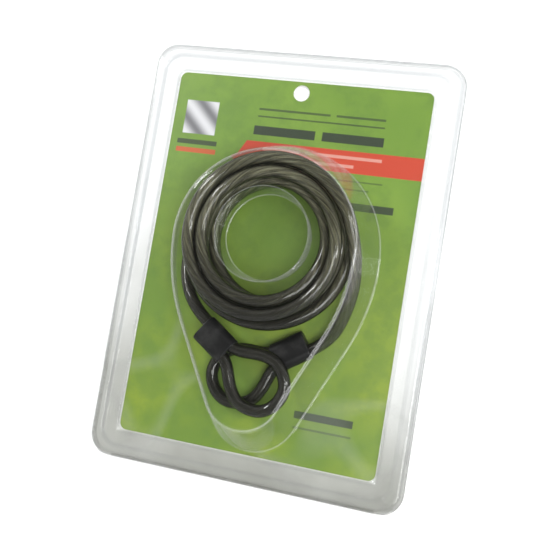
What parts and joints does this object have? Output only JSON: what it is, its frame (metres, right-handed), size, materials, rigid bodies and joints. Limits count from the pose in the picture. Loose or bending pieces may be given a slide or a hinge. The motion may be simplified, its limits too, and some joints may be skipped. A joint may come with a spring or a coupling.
{
  "type": "cable lock",
  "caption": "Looped steel security cable, coiled under the teardrop bubble of a clear hinged hanging pack with a printed backing card.",
  "frame": {"origin": "centre of the pack's back, on the surface that it lies on", "axes": "+Z out through the bubble, +Y along the pack towards the hang hole, +X to the right when the front is seen with the hang hole up"},
  "size_m": [0.1554, 0.21, 0.0279],
  "materials": {
    "clear_shell": "clear thermoformed sheet",
    "printed_card": "coated card printed in green with a red band",
    "cable_sheath": "smoke-clear sheath over twisted steel",
    "sleeve_black": "black shrunk sleeve",
    "ferrule_metal": "pressed, dull",
    "core_steel": "bare twisted wire"
  },
  "bodies": {
    "pack_back_half": {"rear_shell": "clear_shell", "rear_head": "clear_shell", "backing_card": "printed_card", "cable_coil": "cable_sheath", "cable_lead_a": "cable_sheath", "cable_lead_b": "cable_sheath", "eye_loop_a": "cable_sheath", "eye_loop_b": "cable_sheath", "ferrule_a": "ferrule_metal", "ferrule_b": "ferrule_metal", "ferrule_sleeve_a": "sleeve_black", "ferrule_sleeve_b": "sleeve_black", "core_ends_a": "core_steel", "core_ends_b": "core_steel"},
    "pack_front_half": {"front_cover": "clear_shell", "front_head": "clear_shell", "cable_bubble": "clear_shell", "bubble_well": "clear_shell"}
  },
  "joints": [
    {"name": "front_shell_hinge", "type": "hinge", "parent": "pack_back_half", "child": "pack_front_half", "pos_m": [0, -0.1043, 0.00075], "axis": [1, 0, 0], "range_deg": [0, 95]}
  ]
}
